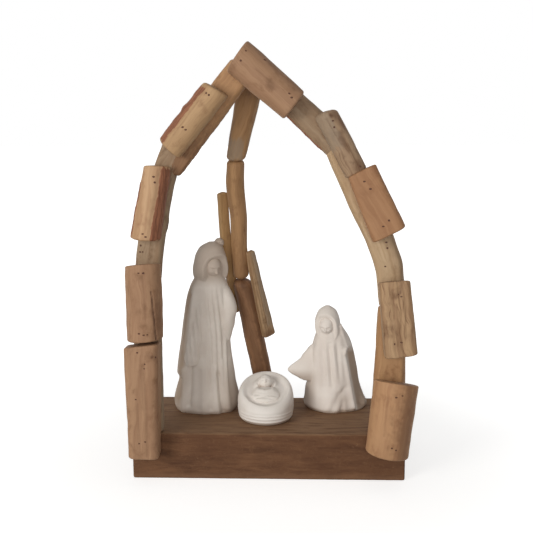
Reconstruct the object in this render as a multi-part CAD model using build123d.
from build123d import *
from math import asin, atan2, cos, degrees, hypot, radians, sin
import os

# Plank that everything stands on
PLANK_LENGTH = 160.0
PLANK_DEPTH = 70.0
PLANK_HEIGHT = 28.0
PLANK_EDGE = 1.2

# Pointed arch of two lapped rows of sticks
POST_INSET = 10.0
ARCH_RISE = 222.0
BUTT_WIDTH = 24.5
STOUT_WIDTH = 19.5
MIDDLE_WIDTH = 15.5
SLIM_WIDTH = 12.2
WORN_EDGE = 1.8
FLAT_CORNER = 4.0
ROUND_DEPTH_SHARE = 0.88
SPLIT_DEPTH_SHARE = 0.78
SEAT_SHARE = 0.15

# Rear leg and its two splices
LEG_WIDTH = 11.0
LEG_WORN = 2.4
LEG_TOP_BACK = 16.5
LEG_FOOT_INSET = 6.5
SPLICE_WIDTH = 6.2
SPLICE_THICKNESS = 4.0
SPLICE_WORN = 0.9
SPLICE_CORNER = 1.6
SPLICE_TURN = 37.0
SPLICE_SEAT_SHARE = 0.88

# Brads and pins
BRAD_WIDTH = 1.25
BRAD_THICKNESS = 1.0
BRAD_FRONT = 8.0
BRAD_BACK = 8.0
BRAD_SPACING = 3.0
PIN_LENGTH = 14.0

# Standing figure
STANDING_HEIGHT = 107.0
STANDING_WIDTH = 41.0
STANDING_DEPTH = 29.0
STANDING_SIDE_SHARE = 0.586
STANDING_BEHIND = 3.0

# Kneeling figure
KNEELING_HEIGHT = 65.5
KNEELING_WIDTH = 40.0
KNEELING_DEPTH = 30.0
KNEELING_SIDE_SHARE = 0.579
KNEELING_BACK = 18.5

# Manger with the infant
MANGER_WIDTH = 34.6
MANGER_HEIGHT = 25.5
MANGER_FRONT_HEIGHT = 11.5
MANGER_SIDE = -2.4
MANGER_BACK = -5.5
MANGER_WALL = 2.4
BED_DROP = 4.5
INFANT_HEAD = 10.4
INFANT_WIDTH = 15.0
INFANT_LENGTH = 20.0
INFANT_RISE = 5.0

HALF_SPAN = PLANK_LENGTH / 2 - POST_INSET
LAP = -PLANK_DEPTH / 2
LEG_TOP = LAP + LEG_TOP_BACK
LEG_FOOT = PLANK_DEPTH / 2 - LEG_FOOT_INSET
LEG_LINE = Vector(0, LEG_TOP - LEG_FOOT, ARCH_RISE)
FRONT, REAR = -1, 1
ROUND, SPLIT = "round", "split"
LEVEL = None

# Each stick: row, section, width, then stations from foot to head as shares of the half span, of the rise
# and of the width, with the turn of the section in degrees from square, or a level cut
ARCH_STICK_SHARES = {
    "left_post_rear": (REAR, ROUND, MIDDLE_WIDTH, (
        (-1.013, 0.0, 1.06, LEVEL), (-1.0, 0.352, 0.96, LEVEL))),
    "left_wall_rear": (REAR, ROUND, MIDDLE_WIDTH, (
        (-1.0, 0.352, 0.95, LEVEL), (-0.95, 0.51, 0.89, 0), (-0.833, 0.689, 0.78, 0), (-0.735, 0.762, 0.78, 6))),
    "left_rafter_rear": (REAR, ROUND, STOUT_WIDTH, (
        (-0.74, 0.686, 0.36, 10), (-0.43, 0.842, 0.8, 0), (-0.15, 0.957, 0.87, 24))),
    "right_rafter_rear": (REAR, ROUND, MIDDLE_WIDTH, (
        (0.533, 0.767, 1.06, 0), (0.08, 0.9, 0.93, 6))),
    "right_wall_rear": (REAR, ROUND, MIDDLE_WIDTH, (
        (1.019, 0.342, 0.94, LEVEL), (0.982, 0.455, 1.0, 0), (0.92, 0.512, 0.99, 0),
        (0.743, 0.622, 0.92, 0), (0.56, 0.746, 0.86, -2))),
    "right_post_rear": (REAR, ROUND, STOUT_WIDTH, (
        (0.994, 0.0, 0.97, LEVEL), (1.019, 0.342, 0.77, LEVEL))),
    "left_post_front": (FRONT, SPLIT, STOUT_WIDTH, (
        (-1.02, -0.053, 0.87, -1), (-1.016, 0.255, 1.0, 7))),
    "left_wall_front": (FRONT, ROUND, STOUT_WIDTH, (
        (-0.987, 0.264, 1.03, 5), (-0.985, 0.36, 1.04, 0), (-0.991, 0.461, 1.02, 4))),
    "left_haunch_front": (FRONT, ROUND, MIDDLE_WIDTH, (
        (-0.973, 0.524, 1.04, 6), (-0.86, 0.708, 0.93, 8))),
    "left_rafter_front": (FRONT, ROUND, MIDDLE_WIDTH, (
        (-0.759, 0.75, 0.94, -4), (-0.39, 0.895, 1.0, 9))),
    "apex_front": (FRONT, ROUND, STOUT_WIDTH, (
        (0.216, 0.856, 0.9, 3), (-0.206, 0.969, 0.98, 6))),
    "right_haunch_front": (FRONT, SPLIT, STOUT_WIDTH, (
        (0.956, 0.54, 0.99, 3), (0.741, 0.693, 0.8, 3))),
    "right_rafter_front": (FRONT, ROUND, SLIM_WIDTH, (
        (0.709, 0.688, 0.99, 0), (0.457, 0.836, 1.0, -8))),
    "right_wall_front": (FRONT, SPLIT, STOUT_WIDTH, (
        (1.087, 0.226, 0.93, 2), (1.021, 0.42, 0.87, -2))),
    "right_post_front": (FRONT, ROUND, BUTT_WIDTH, (
        (0.976, -0.037, 0.99, -4), (1.049, 0.153, 1.01, -2))),
}

# Sticks of the leg: stations from foot to head, as shares of the half span, of the rise and of the width
LEG_STICK_SHARES = {
    "leg_lower": ((-0.04, 0.0, 1.0), (-0.16, 0.21, 1.03), (-0.256, 0.376, 1.0)),
    "leg_middle": ((-0.256, 0.376, 0.9), (-0.262, 0.51, 0.88), (-0.29, 0.635, 0.92), (-0.277, 0.71, 0.82)),
    "leg_upper": ((-0.277, 0.71, 0.92), (-0.195, 0.83, 1.14), (-0.115, 0.945, 1.16)),
}

# Split laths across the leg's lower joint: the leg's face they are glued on, then stations in the same shares
SPLICE_SHARES = {
    "leg_splice_left": (REAR, ((-0.285, 0.272, 0.8), (-0.37, 0.45, 0.92), (-0.403, 0.617, 0.82))),
    "leg_splice_right": (FRONT, ((-0.05, 0.208, 1.25), (-0.184, 0.457, 0.76))),
}
SPLICED = ("leg_lower", "leg_middle")

# Sticks that are scribed, each with those it is cut to fit
SCRIBED = {
    "left_wall_rear": ("left_rafter_rear",),
    "right_rafter_front": ("right_haunch_front",),
    "leg_upper": ("left_rafter_rear", "right_rafter_rear"),
}

# Brads of each front stick: shares of its length from the foot
BRAD_SHARES = {
    "brads_left": {
        "left_post_front": (0.12, 0.8), "left_wall_front": (0.14, 0.84),
        "left_haunch_front": (0.14, 0.86), "left_rafter_front": (0.22, 0.84)},
    "brads_apex": {"apex_front": (0.16, 0.76)},
    "brads_right": {
        "right_rafter_front": (0.16, 0.74), "right_haunch_front": (0.2, 0.72),
        "right_wall_front": (0.18, 0.78), "right_post_front": (0.12, 0.82)},
}

# Rings of the castings: height, sideways shift, shift to the back, width and depth, as shares of the
# casting's own height, width, depth, width and depth
STANDING_ROBE_SHARES = (
    (0.0, 0.0, 0.0, 0.95, 0.96), (0.035, 0.0, 0.0, 1.0, 1.0), (0.19, 0.01, -0.04, 0.89, 0.88),
    (0.38, 0.01, -0.12, 0.75, 0.78), (0.58, 0.06, -0.22, 0.68, 0.72), (0.7, 0.1, -0.28, 0.62, 0.66),
    (0.77, 0.115, -0.32, 0.52, 0.56), (0.82, 0.12, -0.34, 0.4, 0.46))
STANDING_HOOD_SHARES = (
    (0.775, 0.11, -0.34, 0.4, 0.46), (0.8, 0.11, -0.35, 0.5, 0.56), (0.845, 0.11, -0.36, 0.54, 0.62),
    (0.9, 0.11, -0.36, 0.5, 0.59), (0.955, 0.11, -0.35, 0.39, 0.47), (1.0, 0.11, -0.34, 0.16, 0.2))
STANDING_SLEEVE_SHARES = (
    (0.3, -0.27, -0.33, 0.26, 0.3), (0.45, -0.22, -0.36, 0.3, 0.36), (0.6, -0.16, -0.35, 0.24, 0.34),
    (0.73, -0.08, -0.32, 0.16, 0.26))
STANDING_ELBOW_SHARES = (
    (0.46, 0.32, -0.26, 0.12, 0.16), (0.56, 0.36, -0.34, 0.22, 0.3), (0.64, 0.38, -0.36, 0.23, 0.32),
    (0.72, 0.33, -0.34, 0.2, 0.28), (0.78, 0.26, -0.32, 0.14, 0.2))
KNEELING_ROBE_SHARES = (
    (0.0, 0.0, 0.0, 0.94, 0.95), (0.04, 0.0, 0.0, 1.0, 1.0), (0.12, -0.01, 0.0, 0.95, 0.94),
    (0.24, -0.01, -0.02, 0.82, 0.86), (0.42, -0.05, -0.06, 0.72, 0.76), (0.6, -0.07, -0.1, 0.61, 0.62),
    (0.72, -0.07, -0.14, 0.46, 0.5), (0.8, -0.09, -0.18, 0.34, 0.42))
KNEELING_HEAD_SHARES = (
    (0.7, -0.1, -0.2, 0.33, 0.4), (0.76, -0.11, -0.22, 0.38, 0.5), (0.85, -0.13, -0.23, 0.385, 0.54),
    (0.93, -0.13, -0.22, 0.33, 0.46), (1.0, -0.13, -0.2, 0.12, 0.16))
KNEELING_SLEEVE_SHARES = (
    (0.36, -0.745, -0.28, 0.05, 0.08), (0.365, -0.69, -0.28, 0.13, 0.2), (0.4, -0.56, -0.27, 0.25, 0.36),
    (0.45, -0.4, -0.24, 0.4, 0.46), (0.5, -0.2, -0.18, 0.46, 0.5))
MANGER_RING_SHARES = (
    (0.0, 0.0, 0.76), (0.16, 0.2, 0.9), (0.42, 0.45, 0.99), (0.75, 0.75, 0.99), (0.95, 0.97, 0.95), (1.0, 1.0, 0.91))
INFANT_SHARES = (
    (-0.5, 0.45, 0.4), (-0.3, 0.95, 0.9), (0.1, 1.0, 1.0), (0.5, 0.62, 0.7))
INFANT_HEAD_SHARES = ((-0.1, 0.86), (0.25, 1.0), (0.55, 0.8), (0.75, 0.24))


def arch_place(across_share, up_share):
    return across_share * HALF_SPAN, PLANK_HEIGHT + up_share * ARCH_RISE


def leg_place(across_share, up_share):
    back = LEG_FOOT + up_share * (LEG_TOP - LEG_FOOT)
    return Vector(across_share * HALF_SPAN, back, PLANK_HEIGHT + up_share * ARCH_RISE)


def worn(body, ends, edge):
    """Ends eased where the tumbled wood has lost its corners."""
    caps = [body.faces().sort_by_distance(end)[0] for end in ends]
    return chamfer([rim for cap in caps for rim in cap.edges()], edge)


def split_section(wide, deep, corner):
    """Cross-section of split wood with its flat back on the local X axis."""
    block = Pos(0, deep / 2) * Rectangle(wide, deep)
    return fillet(block.vertices().group_by(Axis.Y)[-1], corner)


def round_section(wide, deep):
    """Cross-section of a round stick with its planed side on the local X axis."""
    reach = deep * (1 / 2 - SEAT_SHARE)
    start = -degrees(asin(2 * reach / deep))
    bark = EllipticalCenterArc((0, reach), wide / 2, deep / 2, start, arc_size=180 - 2 * start)
    return make_face(bark + Line(bark @ 1, bark @ 0))


def stick_section(section, wide, deep, inset):
    """Cross-section of an arch stick, drawn in from all but its flat side by an inset."""
    if section == SPLIT:
        return split_section(wide - 2 * inset, deep - inset, FLAT_CORNER - inset)
    return round_section(wide - 2 * inset, deep - inset)


def arch_stick(row, section, width, stations):
    """A stick planed flat where it meets the other row, its ends eased where tumbling has worn the corners."""
    points = [arch_place(across_share, up_share) for across_share, up_share, _, _ in stations]
    last = len(points) - 1
    rings, tips = [], []
    for index, (_, _, width_share, turn) in enumerate(stations):
        before = points[max(index - 1, 0)]
        after = points[min(index + 1, last)]
        lean = atan2(after[1] - before[1], after[0] - before[0])
        lean = radians(90) if turn is LEVEL else lean + radians(turn)
        wide = width * width_share
        deep = wide * (SPLIT_DEPTH_SHARE if section == SPLIT else ROUND_DEPTH_SHARE)
        x_dir = (row * sin(lean), 0, -row * cos(lean))
        plane = Plane((points[index][0], LAP, points[index][1]), x_dir=x_dir, z_dir=(cos(lean), 0, sin(lean)))
        inward = {0: WORN_EDGE, last: -WORN_EDGE}.get(index, 0)
        ring = plane.offset(inward) * stick_section(section, wide, deep, 0)
        rings.append(ring)
        if inward:
            tips.append([plane * stick_section(section, wide, deep, WORN_EDGE), ring])
    return loft(rings) + [loft(tip) for tip in tips]


def leg_stick(stations):
    """A worn round stick of the leg, lofted along its bends, with its ends square to the leg or level."""
    points = [leg_place(across_share, up_share) for across_share, up_share, _ in stations]
    last = len(points) - 1
    rings = []
    for index, (_, up_share, width_share) in enumerate(stations):
        along = points[min(index + 1, last)] - points[max(index - 1, 0)]
        if index in (0, last):
            along = LEG_LINE if up_share else Vector(0, 0, 1)
        plane = Plane(points[index], x_dir=(along.Z, 0, -along.X), z_dir=along)
        rings.append(plane * Circle(LEG_WIDTH * width_share / 2))
    return worn(loft(rings), (points[0], points[-1]), LEG_WORN)


def splice_flat(side, stations):
    """Plane on which a lath is glued, facing away from the leg and along the lath."""
    along = leg_place(*stations[-1][:2]) - leg_place(*stations[0][:2])
    turn = radians(SPLICE_TURN)
    away = Vector(-side * sin(turn), side * cos(turn), 0)
    away = (away - along * (away.dot(along) / along.dot(along))).normalized()
    joint = leg_place(*LEG_STICK_SHARES["leg_middle"][0][:2])
    return Plane(joint + away * (SPLICE_SEAT_SHARE * LEG_WIDTH / 2), x_dir=along, z_dir=away)


def splice(side, stations):
    """A split lath lofted along the flat, and the block that planes the leg for it."""
    flat = splice_flat(side, stations)
    rings, ends = [], []
    for across_share, up_share, width_share in stations:
        place = leg_place(across_share, up_share)
        place += Vector(0, (flat.origin - place).dot(flat.z_dir) / flat.z_dir.Y, 0)
        outline = split_section(SPLICE_WIDTH * width_share, SPLICE_THICKNESS, SPLICE_CORNER)
        rings.append(Plane(place, x_dir=flat.y_dir, z_dir=flat.x_dir) * outline)
        ends.append(place + flat.z_dir * (SPLICE_THICKNESS / 2))
    lath = worn(loft(rings), (ends[0], ends[-1]), SPLICE_WORN)
    reach = (ends[-1] - ends[0]).length
    middle = flat.to_local_coords((ends[0] + ends[-1]) / 2)
    block = flat * Pos(middle.X, 0, LEG_WIDTH) * Box(reach, 2 * LEG_WIDTH, 2 * LEG_WIDTH)
    return lath, block


def leg_pin(up_share, across_share):
    """A headless pin along the leg, half in each of the two pieces that butt there."""
    middle = leg_place(across_share, up_share)
    return Plane(middle, x_dir=(1, 0, 0), z_dir=LEG_LINE) * Box(BRAD_WIDTH, BRAD_THICKNESS, PIN_LENGTH)


def brad(front_stick, share, side):
    """One brad driven from the front, beside the axis of a front stick."""
    stations = ARCH_STICK_SHARES[front_stick][-1]
    foot = arch_place(*stations[0][:2])
    head = arch_place(*stations[-1][:2])
    length = hypot(head[0] - foot[0], head[1] - foot[1])
    along = ((head[0] - foot[0]) / length, (head[1] - foot[1]) / length)
    across = side * BRAD_SPACING / 2
    x = foot[0] + share * length * along[0] + across * along[1]
    z = foot[1] + share * length * along[1] - across * along[0]
    middle = (x, LAP + (BRAD_BACK - BRAD_FRONT) / 2, z)
    return Pos(*middle) * Box(BRAD_WIDTH, BRAD_FRONT + BRAD_BACK, BRAD_THICKNESS)


def rings_of(shares, height, width, depth):
    """Loft through level elliptical rings."""
    faces = []
    for up_share, side_share, back_share, width_share, depth_share in shares:
        place = Pos(side_share * width, back_share * depth, up_share * height)
        faces.append(place * Ellipse(width_share * width / 2, depth_share * depth / 2))
    return loft(faces)


def standing_figure():
    size = (STANDING_HEIGHT, STANDING_WIDTH, STANDING_DEPTH)
    body = rings_of(STANDING_ROBE_SHARES, *size)
    for shares in (STANDING_HOOD_SHARES, STANDING_SLEEVE_SHARES, STANDING_ELBOW_SHARES):
        body += rings_of(shares, *size)
    hood_share = STANDING_HOOD_SHARES[2][0] * STANDING_HEIGHT / ARCH_RISE
    back = leg_place(0, hood_share).Y + STANDING_BEHIND
    return Pos(-STANDING_SIDE_SHARE * HALF_SPAN, back, PLANK_HEIGHT) * body


def kneeling_figure():
    size = (KNEELING_HEIGHT, KNEELING_WIDTH, KNEELING_DEPTH)
    body = rings_of(KNEELING_ROBE_SHARES, *size) + rings_of(KNEELING_HEAD_SHARES, *size)
    rings = []
    for up_share, side_share, back_share, width_share, depth_share in KNEELING_SLEEVE_SHARES:
        middle = (side_share * KNEELING_WIDTH, back_share * KNEELING_DEPTH, up_share * KNEELING_HEIGHT)
        plane = Plane(middle, x_dir=(0, 0, 1), z_dir=(1, 0, 0))
        radii = (width_share * KNEELING_HEIGHT / 2, depth_share * KNEELING_DEPTH / 2)
        rings.append(plane * Ellipse(*radii))
    body += loft(rings)
    return Pos(KNEELING_SIDE_SHARE * HALF_SPAN, KNEELING_BACK, PLANK_HEIGHT) * body


def manger_with_infant():
    """A round crib, its rim sloping to the front, with the infant on the bed inside it."""
    tilt = atan2(MANGER_HEIGHT - MANGER_FRONT_HEIGHT, MANGER_WIDTH)
    lip = (MANGER_HEIGHT + MANGER_FRONT_HEIGHT) / 2
    walls = []
    for up_share, tilt_share, width_share in MANGER_RING_SHARES:
        lean = tilt_share * tilt
        rim = Plane((0, 0, up_share * lip), x_dir=(1, 0, 0), z_dir=(0, -sin(lean), cos(lean)))
        across = width_share * MANGER_WIDTH / 2
        deep = across / cos(lean)
        walls.append(rim * Ellipse(across, deep))
    body = loft(walls)
    mouth = across - MANGER_WALL
    reach = deep - MANGER_WALL
    floor = Pos(0, 0, -BED_DROP)
    body -= loft([rim * Ellipse(mouth, reach), rim * floor * Ellipse(mouth - BED_DROP, reach - BED_DROP)])
    rings = []
    for along_share, width_share, rise_share in INFANT_SHARES:
        place = rim * floor * Pos(0, along_share * INFANT_LENGTH - INFANT_HEAD / 2, 0) * Rot(90, 0, 0)
        rings.append(place * Ellipse(width_share * INFANT_WIDTH / 2, rise_share * INFANT_RISE))
    body += loft(rings)
    skull = []
    for up_share, width_share in INFANT_HEAD_SHARES:
        place = Pos(0, INFANT_LENGTH / 2 - INFANT_HEAD / 4, up_share * INFANT_HEAD)
        skull.append(rim * floor * place * Circle(width_share * INFANT_HEAD / 2))
    body += loft(skull)
    return Pos(MANGER_SIDE, MANGER_BACK, PLANK_HEIGHT) * body


parts = {}
plank = Pos(0, 0, PLANK_HEIGHT / 2) * Box(PLANK_LENGTH, PLANK_DEPTH, PLANK_HEIGHT)
parts["plank"] = chamfer(plank.edges(), PLANK_EDGE)
for name, (row, section, width, stations) in ARCH_STICK_SHARES.items():
    parts[name] = arch_stick(row, section, width, stations)
for name, stations in LEG_STICK_SHARES.items():
    parts[name] = leg_stick(stations)

# Sticks scribed to the ones they are glued against
for name, against in SCRIBED.items():
    for other in against:
        parts[name] -= parts[other]
for name, (side, stations) in SPLICE_SHARES.items():
    parts[name], block = splice(side, stations)
    for other in SPLICED:
        parts[other] -= block

parts["standing_figure"] = standing_figure()
parts["kneeling_figure"] = kneeling_figure()
parts["manger_with_infant"] = manger_with_infant()
for group, sticks in BRAD_SHARES.items():
    pins = [brad(name, share, side) for name, shares in sticks.items() for share in shares for side in (-1, 1)]
    parts[group] = Compound(pins)
joints = [stations[0] for stations in LEG_STICK_SHARES.values()]
parts["leg_pins"] = Compound([leg_pin(up_share, across_share) for across_share, up_share, _ in joints])

os.makedirs("parts", exist_ok=True)
for name, solid in parts.items():
    export_step(solid, f"parts/{name}.step")
